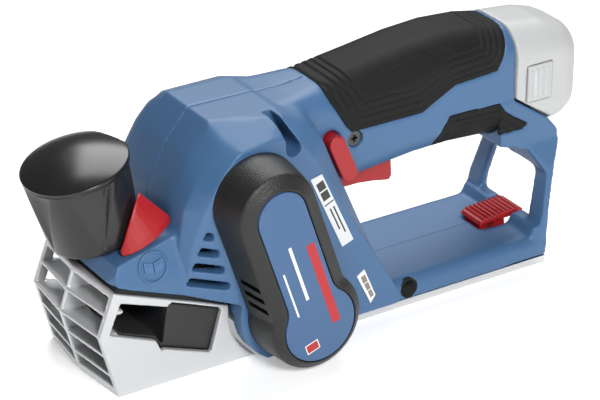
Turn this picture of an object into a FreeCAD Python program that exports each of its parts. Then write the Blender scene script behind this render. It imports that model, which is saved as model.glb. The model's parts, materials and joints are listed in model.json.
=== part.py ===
"""Compact cordless hand planer: every sub-part is one STEP file in parts/.

Millimetres. +X is the planing direction, +Y the belt-cover side, +Z up.
The origin is the centre of the rear sole's working face, so the soles lie on z = 0.
"""
import FreeCAD, Part
import math
import os

V = FreeCAD.Vector
os.makedirs("parts", exist_ok=True)

# ---------------------------------------------------------------- driving dimensions
SOLE_HALF = 29.0            # half the sole's width; the planing width is 2 mm less
REAR_SOLE_LENGTH = 129.0
SOLE_THICKNESS = 3.2
CUT_RADIUS = 23.4                   # the blade tips touch z = 0
DRUM_X, DRUM_Z = 74.0, CUT_RADIUS   # cutter drum axis, along Y
MOTOR_X, MOTOR_Z = 92.4, 78.0       # motor axis, along Y
RUNNING = 0.05                      # radial clearance of shafts and pins
PLATE_FACE = 36.5                   # left face of the body, behind the belt cover
COVER_FACE = 57.0                   # outer face of the belt cover
DEPTH_TRAVEL = 2.0                  # rise of the front shoe

KNOB_TILT = 13.0                    # degrees the knob's axis leans forward
KNOB_BASE = V(147.2, 0, 59.56)      # where that axis meets the knob platform
KNOB_FOOT_R, KNOB_RIM_R, KNOB_HEIGHT = 19.0, 23.0, 35.0

SEAM_SLOPE = 0.394                  # rise of the line between front shoe and body
SEAM_FRONT = V(155.0, 0, 48.7)      # front upper corner of the shoe
SEAM_GAP = DEPTH_TRAVEL + 0.3       # foam seal that the shoe's rise squeezes
DRUM_BAY_R = CUT_RADIUS + 1.0       # hollow round the drum
GUARD_R = DRUM_BAY_R + 1.3          # the body ends on this circle round the drum
SHOE_REAR_R = GUARD_R + 1.8         # and the shoe on this one, clear of it when raised
CHUTE_ANGLE = 21.6                  # slope of the chip channel, degrees

HANDLE_HALF = 19.5
HANDLE_CORNER = 14.0
GRIP_SKIN = 1.6
HANDLE_END_X = -51.0

knob_axis = V(math.sin(math.radians(KNOB_TILT)), 0, math.cos(math.radians(KNOB_TILT)))


# ---------------------------------------------------------------- shape helpers
def polygon(points):
    return Part.makePolygon(list(points) + [points[0]])


def prism(outline, y0, y1):
    """A solid from an (x, z) outline, between two y values."""
    wire = polygon([V(x, y0, z) for x, z in outline])
    return Part.Face(wire).extrude(V(0, y1 - y0, 0))


def prism_x(outline, x0, x1):
    """A solid from a (y, z) outline, between two x values."""
    wire = polygon([V(x0, y, z) for y, z in outline])
    return Part.Face(wire).extrude(V(x1 - x0, 0, 0))


def box(x0, x1, y0, y1, z0, z1):
    return Part.makeBox(x1 - x0, y1 - y0, z1 - z0, V(x0, y0, z0))


def rod(start, direction, radius, length):
    return Part.makeCylinder(radius, length, start, direction)


def rod_y(x, z, radius, y0, y1):
    return rod(V(x, y0, z), V(0, 1, 0), radius, y1 - y0)


def ring_y(x, z, outer, inner, y0, y1):
    return rod_y(x, z, outer, y0, y1).cut(rod_y(x, z, inner, y0 - 1, y1 + 1))


def ring_z(x, y, outer, inner, z0, z1):
    whole = rod(V(x, y, z0), V(0, 0, 1), outer, z1 - z0)
    return whole.cut(rod(V(x, y, z0 - 1), V(0, 0, 1), inner, z1 - z0 + 2))


def fuse(first, *others):
    return first.fuse(list(others)).removeSplitter()


def loft(wires):
    return Part.makeLoft(wires, True, True)


def arc_points(x, z, radius, start, end, steps):
    """Points on a circle in the XZ plane; angles in degrees from +X towards +Z."""
    angles = [math.radians(start + (end - start) * i / steps) for i in range(steps + 1)]
    return [(x + radius * math.cos(a), z + radius * math.sin(a)) for a in angles]


def rounded_wire(x, half_width, low, high, radius):
    """A rounded rectangle in the plane of one x value."""
    corners = [(half_width, low, 270), (half_width, high, 0), (-half_width, high, 90),
               (-half_width, low, 180)]
    edges = []
    last = None
    for y, z, start in corners:
        centre = V(x, y - math.copysign(radius, y), z + (radius if z == low else -radius))
        at = [math.radians(start + step) for step in (0, 45, 90)]
        points = [centre + V(0, radius * math.cos(a), radius * math.sin(a)) for a in at]
        if last is not None:
            edges.append(Part.LineSegment(last, points[0]).toShape())
        edges.append(Part.Arc(*points).toShape())
        last = points[2]
    edges.append(Part.LineSegment(last, edges[0].Vertexes[0].Point).toShape())
    return Part.Wire(edges)


def capsule_wire(y, radius):
    """The outline round the drum and motor axes, at one y value."""
    run = V(MOTOR_X - DRUM_X, 0, MOTOR_Z - DRUM_Z).normalize()
    side = V(run.z, 0, -run.x) * radius
    low, high = V(DRUM_X, y, DRUM_Z), V(MOTOR_X, y, MOTOR_Z)
    return Part.Wire([
        Part.LineSegment(low + side, high + side).toShape(),
        Part.Arc(high + side, high + run * radius, high - side).toShape(),
        Part.LineSegment(high - side, low - side).toShape(),
        Part.Arc(low - side, low - run * radius, low + side).toShape()])


def keyhole(y0, y1, upper0, upper1, lower0, lower1):
    """A drafted keyhole: a capsule joined to a larger circle round the drum axis."""
    capsule = loft([capsule_wire(y0, upper0), capsule_wire(y1, upper1)])
    if lower0 == lower1:
        return fuse(capsule, rod_y(DRUM_X, DRUM_Z, lower0, y0, y1))
    cone = Part.makeCone(lower0, lower1, y1 - y0, V(DRUM_X, y0, DRUM_Z), V(0, 1, 0))
    return fuse(capsule, cone)


def on_knob(radius, height, angle=0.0):
    """A point in the knob's own frame: radius, height on its axis, degrees from +X."""
    a = math.radians(angle)
    forward = V(knob_axis.z, 0, -knob_axis.x)
    return KNOB_BASE + knob_axis * height + forward * (radius * math.cos(a)) \
        + V(0, radius * math.sin(a), 0)


def revolved_on_knob(profile):
    """Turns a (radius, height) outline round the knob's axis."""
    face = Part.Face(polygon([on_knob(r, h) for r, h in profile]))
    return face.revolve(KNOB_BASE, knob_axis, 360)


def seam_z(x, gap=0.0):
    return SEAM_FRONT.z - SEAM_SLOPE * (SEAM_FRONT.x - x) + gap


def save(name, shape):
    solids = shape.Solids
    good = shape.isValid() and len(solids) > 0 and all(s.Volume > 0 for s in solids)
    print(f"{name:22s} solids {len(solids):2d}  volume {shape.Volume:9.1f}  {'ok' if good else 'BAD'}")
    shape.exportStep(f"parts/{name}.step")


# ---------------------------------------------------------------- body outline
ROOF_Z = 107.2
GUARD_LOW = -math.degrees(math.asin((DRUM_Z - 1.0) / GUARD_R))
GUARD_HIGH = 15.0


def head_wire(y, upper, front_x):
    """One section of the head: rear line, roof and nose, then down round the drum."""
    guard = arc_points(DRUM_X, DRUM_Z, GUARD_R, GUARD_HIGH, GUARD_LOW, 6)
    outline = upper + [(front_x, 62.0), (front_x, seam_z(front_x, SEAM_GAP))] + guard
    outline += [(65.2, 1.0), (65.2, SOLE_THICKNESS), (20.0, SOLE_THICKNESS), (20.0, 13.0)]
    return polygon([V(x, y, z) for x, z in outline])


def head():
    """The motor and drum housing, as straight-sided sections from right to left."""
    middle = [(49, 80), (54, 94), (59, 103), (72, 106.8), (102.3, ROOF_Z), (108.3, 100.4),
              (113.8, 93.6), (118.6, 83.7), (122.3, 74.7)]
    right = [(49, 80), (54, 92), (60, 98.5), (73, 101), (98, 101), (105.5, 98.6), (111.6, 92.4),
             (117, 83.5), (120.5, 75)]
    near_right = [(49, 80), (54, 93.4), (59.5, 101.3), (73, 104.4), (100.4, 104.4), (107.4, 100),
                  (113.2, 93.4), (118.2, 84), (121.8, 75)]
    left = [(49, 80), (53.5, 91), (62, 101.5), (74, 106.8), (98, ROOF_Z), (104.5, 101.5),
            (110.8, 93.4), (116.5, 85), (121, 76)]
    outer = [(60, 80), (64, 89), (71, 96.5), (80, 101.5), (94, 102.5), (101, 98.8), (107, 92.5),
             (112, 84.8), (113.6, 77)]
    sections = [(-SOLE_HALF, right, 120.5), (-24.5, near_right, 123), (-17, middle, 124),
                (18, middle, 124), (27, left, 123.4), (PLATE_FACE, outer, 116)]
    whole = loft([head_wire(y, upper, front_x) for y, upper, front_x in sections])
    return whole.cut([above_shoulder(), beside_slots()])


def beyond_plane(front, rear, low, limits):
    """Everything on the outer side of the plane through three points, within a box."""
    normal = (low - front).cross(rear - front).normalize()
    if normal.y < 0:
        normal = normal * -1
    along = (front - rear).normalize()
    down = along.cross(normal)
    corners = [rear - along * 60 - down * 60, rear + along * 80 - down * 60,
               rear + along * 80 + down * 60, rear - along * 60 + down * 60]
    return Part.Face(polygon(corners)).extrude(normal * 40).common(box(*limits))


def above_shoulder():
    """All that lies over the sloping shoulder between the roof and the belt cover."""
    return beyond_plane(V(101.9, 15.7, ROOF_Z), V(78.3, 25, ROOF_Z), V(97, PLATE_FACE, 100.3),
                        (60, 130, 0, 60, 60, 140))


def beside_slots():
    """All that lies outside the slanted face with the slots, ahead of the belt cover."""
    return beyond_plane(V(121.8, 29.5, 42.8), V(112.2, PLATE_FACE, 85), V(102.3, PLATE_FACE, 39.9),
                        (96, 140, 20, 60, 10, 85))


def front_block():
    """The sloped platform under the depth knob, above the shoe."""
    top = KNOB_BASE.z - math.tan(math.radians(KNOB_TILT)) * (112 - KNOB_BASE.x)
    edge = KNOB_BASE.z - math.tan(math.radians(KNOB_TILT)) * (151.3 - KNOB_BASE.x)
    outline = [(SEAM_FRONT.x, seam_z(SEAM_FRONT.x, SEAM_GAP)), (151.3, edge), (112, top),
               (104, 50), (104, seam_z(104, SEAM_GAP))]
    block = prism(outline, -SOLE_HALF, SOLE_HALF)
    for side in (-1, 1):
        corner = [V(160, side * 12, 40), V(160, side * 40, 40), V(147, side * 40, 40)]
        block = block.cut(Part.Face(polygon(corner)).extrude(V(0, 0, 40)))
        taper = [(side * 29.1, 47), (side * 24.2, 66), (side * 40, 66), (side * 40, 47)]
        block = block.cut(prism_x(taper, 100, 160))
    return block


HANDLE_SECTIONS = [(74, 62, 106.2, 5), (60, 60, 106.0, 7), (50, 59, 106.8, 10), (44, 59, 107.8, 12.5),
                   (17, 61, 112.0, HANDLE_CORNER), (-2, 62.7, 114.7, HANDLE_CORNER),
                   (-20, 63, 115.8, HANDLE_CORNER), (-38, 61.8, 114.6, HANDLE_CORNER),
                   (HANDLE_END_X, 60, 112, HANDLE_CORNER)]


def handle(inset):
    """The closed handle as rounded sections; the inset is how far under its skin."""
    wires = [rounded_wire(x, HANDLE_HALF - inset, low + inset, high - inset, corner - inset)
             for x, low, high, corner in HANDLE_SECTIONS]
    return loft(wires)


def rear_frame():
    """The leaning rear panel that joins the handle's end to the base."""
    side = [(-65.5, 5), (-67, 25), (-72, 44), (-76.3, 54), (-75.5, 59.5), (-70, 66),
            (HANDLE_END_X, 79), (-44, 79), (-44, 58), (-59, 53.5), (-67, 41), (-61.5, 17), (-58.5, 5)]
    front = [(-29, 3.2), (29, 3.2), (28, 24), (24, 44), (20, 56), (20, 82), (-20, 82), (-20, 56),
             (-24, 44), (-28, 24)]
    panel = prism(side, -30, 30).common(prism_x(front, -80, -40))
    window = prism_x([(-18, 17.5), (18, 17.5), (15.5, 39), (13, 42), (-13, 42), (-15.5, 39)],
                     -85, -56)
    return panel.cut(window)


def base():
    """The hollow plinth over the rear sole, with rounded long edges."""
    length = 24 - -65.5
    block = box(-65.5, 24, -SOLE_HALF, SOLE_HALF, SOLE_THICKNESS, 13.0)
    edges = [e for e in block.Edges
             if abs(e.Length - length) < 0.01 and e.CenterOfMass.z > 12.9]
    block = block.makeFillet(5.0, edges)
    rail = prism([(-65.5, 12), (-65.8, 17.5), (-59.5, 17.5), (-57, 12)], -27, 27)
    return fuse(block, rail)


GRIP_OUTLINE = [(46, 130), (45, 104), (43.7, 100.4), (37, 89), (33.9, 85.8), (-2, 85.7),
                (-19, 94.4), (-41, 95.6), (-44.5, 102), (-48.5, 112), (-49, 130)]
PALM_OUTLINE = [(-9, 50), (-10, 69), (-16.4, 80.5), (-43, 79.5), (-46, 75), (-50, 71), (-50, 50)]
PALM_TAIL = [(-43, 79.5), (-46, 75), (-51, 71.2), (-58.4, 66.5), (-56.6, 64.4), (-43, 64.4)]


def skin(outline):
    """A soft skin let into the handle, inside a side-view outline."""
    layer = handle(0).cut(handle(GRIP_SKIN))
    return layer.common(prism(outline, -40, 40))


def palm_skin():
    """The palm patch, with the tail that runs onto the rear panel on both sides."""
    tails = [prism(PALM_TAIL, *sorted((side * 18.2, side * 20.1))) for side in (-1, 1)]
    return fuse(skin(PALM_OUTLINE), *tails)


# ---------------------------------------------------------------- spaces in the body
PARK_Y = 0.5                # middle of the parking lever
PARK_PIVOT = (-41.0, 8.0)
SPINDLE_R = 4.0
GUIDE_R, GUIDE_Y = 3.0, 17.0
SHOE_BOSS_R = 7.0
TRIGGER_PIVOT = (30.0, 60.5)
LOCK_LOW, LOCK_HIGH = V(38.1, 0, 69.6), V(44.4, 0, 84.3)
BAY_LOW, BAY_HIGH, BAY_HALF = 80.0, 109.6, 16.2
HOUSING_SCREWS = [(32.3, 82.0, 16.0), (73.8, 95.4, 19.5), (45.0, 12.5, 31.5)]
SCREW_HEAD_R = 3.3
SCREW_SPACE_R = SCREW_HEAD_R + 0.4
FENCE_SOCKET = (9.5, 7.8, 4.3)


def slanted_bar(low, high, radius, y0, y1):
    """A rounded bar lying along the line low-high in the XZ plane."""
    run = (high - low).normalize()
    side = V(run.z, 0, -run.x) * radius
    a, b = V(low.x, y0, low.z), V(high.x, y0, high.z)
    wire = Part.Wire([
        Part.LineSegment(a + side, b + side).toShape(),
        Part.Arc(b + side, b + run * radius, b - side).toShape(),
        Part.LineSegment(b - side, a - side).toShape(),
        Part.Arc(a - side, a - run * radius, a + side).toShape()])
    return Part.Face(wire).extrude(V(0, y1 - y0, 0))


def vent_slots():
    """Four exhaust slots in the slanted face ahead of the belt cover."""
    slots = []
    for row in range(4):
        rear, front = 104.4 + 2.3 * row, 121.4 - 2.0 * row
        low = 38.3 + 8.1 * row
        rise = 0.25 * (front - rear)
        slots.append(prism([(rear, low), (front, low + rise), (front - 0.9, low + rise + 3.8),
                            (rear, low + 3.8)], 24, 40))
    return slots


def intake_slots():
    return [box(80, 105, -31, -24, z, z + 2.6) for z in (64.5, 70.7, 76.7, 82.7, 88.9)]


def body_spaces():
    """Everything that is hollow inside the two body halves."""
    spaces = [
        rod_y(DRUM_X, DRUM_Z, DRUM_BAY_R, -27.7, 29.0),
        box(61.0, 101, -27.7, 29.0, -1, DRUM_Z),
        box(90, 106, -26.4, 26.4, -1, seam_z(104)),
        rod_y(DRUM_X, DRUM_Z, 20.0, -31, -27),
        rod_y(DRUM_X, DRUM_Z, 11.0, 28, PLATE_FACE),
        rod_y(DRUM_X, DRUM_Z, 5.0, 28, PLATE_FACE + 1),
        rod_y(MOTOR_X, MOTOR_Z, 21.6, -26.4, 22.6),
        rod_y(MOTOR_X, MOTOR_Z, 16.0, 22, 28.5),
        rod_y(MOTOR_X, MOTOR_Z, 8.0, 28, PLATE_FACE),
        rod_y(MOTOR_X, MOTOR_Z, 3.5, 28, PLATE_FACE + 1),
        prism([(31, 14), (54, 68), (64, 60), (44, 24), (41, 14)], -26, 30),
        box(104, 121, -25, 27, 43, 60),
        loft([rounded_wire(x, BAY_HALF, BAY_LOW, BAY_HIGH, 8) for x in (-54, -1)]),
        box(-1, 26, -15.5, 15.5, 68, 104),
        box(-38, 26, -11, 11, 66, 78),
        rod(V(20, -8, 90), V(1, 0, 0), 5.0, 58),
        box(3.5, 37.4, -7.0, 7.0, 50, 68),
        box(-36, 2, -22, 22, SOLE_THICKNESS - 1, 10),
        box(-43.6, -37.5, PARK_Y - 6.5, PARK_Y + 6.5, -1, 11.6),
        box(-70, -43.6, PARK_Y - 6.5, PARK_Y + 6.5, -1, 20),
        prism([(-42.4, 20), (-42.4, 12.6), (-46, 12.0), (-71, 7.4), (-71, 20)],
              PARK_Y - 8.0, PARK_Y + 8.0),
        rod(on_knob(0, -30), knob_axis, SPINDLE_R + RUNNING, 40),
        rod(on_knob(0, -30), knob_axis, SHOE_BOSS_R + 0.6, 24.2),
        slanted_bar(LOCK_LOW, LOCK_HIGH, 4.3, 10, 30),
        rod(V(FENCE_SOCKET[0], 14, FENCE_SOCKET[1]), V(0, 1, 0), FENCE_SOCKET[2], 20),
    ]
    spaces += [rod(on_knob(0, -30) + V(0, side * GUIDE_Y, 0), knob_axis, GUIDE_R + RUNNING, 27)
               for side in (-1, 1)]
    for x, z, y_head in HOUSING_SCREWS:
        spaces.append(rod_y(x, z, SCREW_SPACE_R, y_head - 0.1, 45))
        spaces.append(rod_y(x, z, 1.7, y_head - 34, y_head))
    drop_x, drop_z, _ = HOUSING_SCREWS[1]
    drop = prism([(drop_x - 3.6, drop_z + 1), (drop_x + 3.5, drop_z - 1), (79.4, 112), (77.6, 112)],
                 19.4, 45)
    return spaces + [drop] + vent_slots() + intake_slots()


def make_housing():
    shell = head().fuse([front_block(), handle(0), rear_frame(), base()])
    shell = shell.cut(body_spaces())
    lower_bevel = prism_x([(29.2, 2.9), (38, 2.9), (38, 9.2)], 15, 54)
    shell = shell.cut([skin(GRIP_OUTLINE), palm_skin(), lower_bevel])
    pin_hole = rod_y(*PARK_PIVOT, 1.5, PARK_Y - 9.5, PARK_Y + 9.5)
    trigger_hole = rod_y(*TRIGGER_PIVOT, 1.5, -10, 10)
    shell = shell.cut([pin_hole, trigger_hole])
    left = shell.common(box(-120, 200, 0, 80, -5, 150))
    right = shell.common(box(-120, 200, -80, 0, -5, 150))
    save("housing_left", left)
    save("housing_right", right)


def make_grips():
    screw_x, screw_z, screw_head = HOUSING_SCREWS[0]
    screw_space = rod_y(screw_x, screw_z, SCREW_SPACE_R, screw_head - 0.1, 45)
    save("grip_upper", skin(GRIP_OUTLINE).cut(screw_space))
    save("grip_palm", palm_skin())


# ---------------------------------------------------------------- soles and front shoe
SOLE_SCREWS = [(-50, -20), (-50, 22), (40, -20), (40, 20)]


def make_rear_sole():
    half = REAR_SOLE_LENGTH / 2
    plate = box(-half, half, -SOLE_HALF, SOLE_HALF, 0, SOLE_THICKNESS)
    plate = plate.cut(rod_y(DRUM_X, DRUM_Z, 24.7, -30, 30))
    plate = plate.cut(box(-60, -37.5, PARK_Y - 6.5, PARK_Y + 6.5, -1, 5))
    screws = []
    for x, y in SOLE_SCREWS:
        head_cone = Part.makeCone(3.2, 1.6, 1.6, V(x, y, 0.2))
        shank = rod(V(x, y, 1.8), V(0, 0, 1), 1.6, SOLE_THICKNESS - 1.8)
        recess = rod(V(x, y, 0), V(0, 0, 1), 3.2, 0.2)
        plate = plate.cut([head_cone, shank, recess])
        screws.append(fuse(head_cone, shank).cut(box(x - 0.4, x + 0.4, y - 2, y + 2, 0, 1)))
    save("rear_sole", plate)
    save("sole_screws", Part.makeCompound(screws))


RIB_DEPTH, RIB_THICK = 9.0, 1.7
RIB_LEVELS = [39.8, 30.0, 20.5, 11.0]
WALL = 2.6
ROOF = 2.8
WINDOW = [(152, 43.3), (157.4, 30.2), (135.8, 21.1), (133.5, 15.5), (131.8, 16), (109.9, 7.6),
          (104.6, 26.2), (106.0, 27.8), (128.2, 36.9), (130.6, 35.4)]


def shoe_outline(nose):
    """Side view of the front shoe; nose pushes its front edge forward."""
    high = 8.4
    low = -math.degrees(math.asin(DRUM_Z / SHOE_REAR_R))
    rear = arc_points(DRUM_X, DRUM_Z, SHOE_REAR_R, high, low, 6)
    return [(154 + nose, 0), (162 + nose, 30), (SEAM_FRONT.x + nose, SEAM_FRONT.z + 1.2 * nose / 3)] \
        + rear


def shoe_block(nose_middle):
    wires = [polygon([V(x, y, z) for x, z in shoe_outline(nose)])
             for y, nose in ((-SOLE_HALF, 0), (0, nose_middle), (SOLE_HALF, 0))]
    return loft(wires)


def make_front_shoe():
    block = shoe_block(3.0)
    inside = [(170, 4.2), (170, seam_z(170, -ROOF)), (85, seam_z(85, -ROOF)), (85, 4.2)]
    hollow = block.cut(prism(inside, -SOLE_HALF + WALL, SOLE_HALF - WALL))
    hollow = hollow.cut([prism(WINDOW, -40, 40)])
    front_face = [(154, -5), (162, 30), (154.5, 50), (154.5 - RIB_DEPTH, 50), (162 - RIB_DEPTH, 30),
                  (154 - RIB_DEPTH, -5)]
    zone = prism([(x + 4 if i < 3 else x, z) for i, (x, z) in enumerate(front_face)], -27, 27)
    slabs = [prism([(140, z - RIB_THICK / 2 - 3.4), (140, z + RIB_THICK / 2 - 3.4),
                    (170, z + RIB_THICK / 2 + 1.2), (170, z - RIB_THICK / 2 + 1.2)], -27, 27)
             for z in RIB_LEVELS]
    slabs.append(box(140, 170, -0.9, 0.9, 1, 60))
    ribs = [block.common(zone).common(slab) for slab in slabs]
    boss = rod(on_knob(0, -16.5), knob_axis, SHOE_BOSS_R, 8.5)
    shoe = hollow.fuse(ribs + [boss]).removeSplitter()
    bores = [rod(on_knob(0, -25), knob_axis, 5.2, 17)]
    bores += [rod(on_knob(0, -25) + V(0, side * GUIDE_Y, 0), knob_axis, GUIDE_R, 20)
              for side in (-1, 1)]
    groove = prism_x([(-2.5, -1), (2.5, -1), (0, 2.0)], 80, 170)
    shoe = shoe.cut(bores + [groove])
    save("front_shoe", shoe)


def make_shoe_guides():
    """Brass nut for the depth spindle and the two guide pins, pressed into the shoe."""
    nut = rod(on_knob(0, -17.0), knob_axis, 5.2, 9.0)
    save("shoe_nut", nut.cut(rod(on_knob(0, -20), knob_axis, SPINDLE_R + RUNNING, 20)))
    pins = [rod(on_knob(0, -17.0) + V(0, side * GUIDE_Y, 0), knob_axis, GUIDE_R, 11.5)
            for side in (-1, 1)]
    save("guide_pins", Part.makeCompound(pins))


def make_seal():
    """Foam seal round the joint between the shoe and the body."""
    rear, front = 103.5, 153.6
    outline = [(rear, seam_z(rear, 0.1)), (front, seam_z(front, 0.1)),
               (front, seam_z(front, SEAM_GAP)), (rear, seam_z(rear, SEAM_GAP))]
    strip = prism(outline, -28.2, 28.2)
    hole = box(106, 149, -25.4, 25.4, 0, 80)
    boss_space = rod(on_knob(0, -30), knob_axis, SHOE_BOSS_R + 0.6, 40)
    save("seal_strip", strip.cut([hole, boss_space]))


# ---------------------------------------------------------------- chip channel
PIVOT_X = 147.5
CHUTE_FLOOR = [(104.4, 6.9), (132.2, 17.4), (134.8, 22.0), (151.4, 28.6)]
slope = V(math.cos(math.radians(CHUTE_ANGLE)), 0, math.sin(math.radians(CHUTE_ANGLE)))
across = V(-slope.z, 0, slope.x)


def make_chute():
    """Black liner: a stepped floor and the two half-height side panels."""
    under = [(x, z - 1.6) for x, z in reversed(CHUTE_FLOOR)]
    floor = prism(CHUTE_FLOOR + under, -26.3, 26.3)
    panel = [(104.6, 7.2), (131.6, 16.8), (128.6, 36.6), (126, 36.6), (103.4, 27.2)]
    sides = [prism(panel, *span) for span in ((23.8, 26.3), (-26.3, -23.8))]
    liner = floor.fuse(sides)
    liner = liner.common(prism([(x, z) for x, z in [(103, 0), (160, 0), (160, seam_z(160, -ROOF - 0.1)),
                                                    (103, seam_z(103, -ROOF - 0.1))]], -27, 27))
    pivot = V(PIVOT_X, 0, 27.0) - across * 3
    save("chip_chute", liner.cut(rod(pivot, across, 1.5 + RUNNING, 6)).removeSplitter())


def make_deflector():
    """The flap that sends chips to one side; it turns on a pin in the chute floor."""
    floor_z = 28.6 - 0.4 * (151.4 - PIVOT_X)
    foot = V(PIVOT_X, 0, floor_z)
    height = 12.6
    pin = rod(foot - across * 1.6, across, 1.5, 3)
    barrel = rod(foot + across * 0.6, across, 2.6, height)
    plate = Part.makeBox(34.5, 1.8, height, V(-34.5, -0.9, 0))
    plate.Placement = FreeCAD.Placement(V(0, 0, 0), FreeCAD.Rotation(V(0, 1, 0), -CHUTE_ANGLE))
    plate.translate(foot + across * 0.6)
    plate.rotate(foot, across, 32)
    save("chip_deflector", fuse(pin, barrel, plate))


def make_chip_lever():
    """Red wedge behind the knob, on an arm under it; its inner face wraps the knob."""
    hub = [(SPINDLE_R + 0.4, 0.4), (14, 0.4), (14, 1.8), (SPINDLE_R + 0.4, 1.8)]
    ring = revolved_on_knob(hub)
    steps = 7
    sections = []
    for i in range(steps + 1):
        share = i / steps
        angle = 92 + 49 * share
        low = 0.5 + 3.5 * share
        top = 2.6 + 17.0 * math.sin(math.radians(90 * min(1.0, 1.12 * share)))
        outer = 22.4 + 10.6 * share ** 0.8
        lean = (KNOB_RIM_R - KNOB_FOOT_R) / KNOB_HEIGHT
        inner_low, inner_high = 20.4 + lean * low, 20.4 + lean * top
        shoulder = low + 0.8 + 0.12 * top
        crest = inner_high + 0.8
        sections.append(polygon([on_knob(inner_low, low, angle), on_knob(outer, low, angle),
                                 on_knob(outer, shoulder, angle), on_knob(crest, top, angle),
                                 on_knob(inner_high, top, angle)]))
    wedge = loft(sections)
    arm_face = polygon([on_knob(9, 0.4, 118), on_knob(24, 0.4, 112), on_knob(24, 0.4, 136),
                        on_knob(9, 0.4, 130)])
    arm = Part.Face(arm_face).extrude(knob_axis * 1.4)
    riser_face = polygon([on_knob(20.6, 0.4, 108), on_knob(23.6, 0.4, 108), on_knob(25.6, 0.4, 132),
                          on_knob(20.6, 0.4, 132)])
    riser = Part.Face(riser_face).extrude(knob_axis * 4.0)
    save("chip_lever", fuse(ring, arm, riser, wedge))


# ---------------------------------------------------------------- depth knob
def make_knob():
    foot, rim = 2.3, 2.3 + KNOB_HEIGHT
    outer = [(KNOB_FOOT_R - 0.8, foot), (KNOB_FOOT_R, foot + 0.8), (KNOB_RIM_R, rim - 1.6),
             (KNOB_RIM_R - 0.5, rim), (20, rim + 1.6), (15, rim + 3.1), (9, rim + 4.0), (0, rim + 4.4)]
    inner = [(0, rim - 1), (5, rim - 1), (16, rim - 4), (16.0, foot)]
    cup = revolved_on_knob(outer + inner)
    hub = revolved_on_knob([(SPINDLE_R, foot + 0.2), (7, foot + 0.2), (7, rim), (SPINDLE_R, rim)])
    knob = fuse(cup, hub)
    flutes = []
    for i in range(5):
        angle = 72 * i + 77
        tip = on_knob(KNOB_FOOT_R + 0.9, foot + 2, angle)
        high = [on_knob(KNOB_RIM_R + 4.0, rim - 2.6, angle + side) for side in (-25, 25)]
        deep = on_knob(KNOB_RIM_R - 2.6, rim - 2.6, angle + 18)
        faces = [Part.Face(polygon(list(points))) for points in
                 ((tip, high[0], high[1]), (tip, high[1], deep), (tip, deep, high[0]),
                  (high[0], deep, high[1]))]
        flutes.append(Part.makeSolid(Part.makeShell(faces)))
    save("depth_knob", knob.cut(flutes).cut(rod(on_knob(0, -5), knob_axis, SPINDLE_R, 5 + rim - 6)))


def make_spindle():
    rim = 2.3 + KNOB_HEIGHT
    thread = rod(on_knob(0, -14.5), knob_axis, SPINDLE_R, 14.5 + rim - 6)
    save("depth_spindle", thread)


# ---------------------------------------------------------------- cutter drum and belt drive
BLADE_LENGTH = 55.4
DRUM_Y0, DRUM_Y1 = -27.2, 28.2


def spin_about_drum(shape, angle):
    shape.rotate(V(DRUM_X, 0, DRUM_Z), V(0, 1, 0), angle)
    return shape


def blade_frame(outline, y0, y1, angle):
    """A prism from (across, out) points beside the drum axis, turned to its angle."""
    points = [(DRUM_X + a, DRUM_Z + b) for a, b in outline]
    return spin_about_drum(prism(points, y0, y1), angle)


BLADE_ANGLES = (35, 215)
BLADE = [(1.2, 23.2), (2.6, 22.9), (-0.4, 13.5), (-1.5, 13.9)]
CLAMP = [(2.7, 21.0), (6.2, 19.6), (4.0, 12.6), (-0.2, 13.9)]
POCKET = [(1.0, 25), (10, 25), (6.6, 19.4), (4.2, 12.3), (-1.8, 13.6)]


def make_drum():
    drum = rod_y(DRUM_X, DRUM_Z, 21.6, DRUM_Y0, DRUM_Y1)
    drum = drum.cut([blade_frame(POCKET, -40, 40, angle) for angle in BLADE_ANGLES])
    drum = drum.cut([rod_y(DRUM_X, DRUM_Z, 12.0, -40, -19.0), rod_y(DRUM_X, DRUM_Z, 4.0, -40, 40)])
    save("drum_shaft", rod_y(DRUM_X, DRUM_Z, 4.0, -27.0, 54.0))
    y0, y1 = -BLADE_LENGTH / 2 + 0.5, BLADE_LENGTH / 2 + 0.5
    save("cutter_blades", Part.makeCompound([blade_frame(BLADE, y0, y1, a) for a in BLADE_ANGLES]))
    clamps = []
    screws = []
    for angle in BLADE_ANGLES:
        clamp = blade_frame(CLAMP, y0, y1, angle)
        for y in (-17, 0.5, 18):
            screw = rod(V(DRUM_X + 4.2, y, DRUM_Z + 14.5), V(0.30, 0, 0.95), 1.6, 5.2)
            spin_about_drum(screw, angle)
            clamp = clamp.cut(screw)
            drum = drum.cut(screw)
            screws.append(screw)
        clamps.append(clamp)
    save("cutter_drum", drum)
    save("blade_clamps", Part.makeCompound(clamps))
    save("clamp_screws", Part.makeCompound(screws))


def make_bearings():
    save("drum_bearing_left", ring_y(DRUM_X, DRUM_Z, 11.0, 4.0 + RUNNING, 29.5, PLATE_FACE))
    save("drum_bearing_right", ring_y(DRUM_X, DRUM_Z, 9.5, 4.0 + RUNNING, -27.4, -21.4))
    plate = rod_y(DRUM_X, DRUM_Z, 20.0, -29.0, -27.7)
    cup = ring_y(DRUM_X, DRUM_Z, 11.2, 9.5, -27.7, -20.6)
    save("drum_end_plate", fuse(plate, cup))
    save("motor_bearing_left", ring_y(MOTOR_X, MOTOR_Z, 8.0, 2.5 + RUNNING, 30.5, 35.5))
    save("motor_bearing_right", ring_y(MOTOR_X, MOTOR_Z, 7.0, 2.5 + RUNNING, -14.5, -10.5))


DRIVE_R, DRIVEN_R = 9.0, 14.5
BELT_Y0, BELT_Y1 = 40.5, 51.5


def make_pulley(name, x, z, radius, bore):
    """A belt pulley with a low flange each side."""
    pulley = rod_y(x, z, radius, 39.5, 52.5)
    flanges = [rod_y(x, z, radius + 1.2, y, y + 0.7) for y in (39.5, 51.8)]
    save(name, pulley.fuse(flanges).removeSplitter().cut(rod_y(x, z, bore, 30, 60)))


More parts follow.
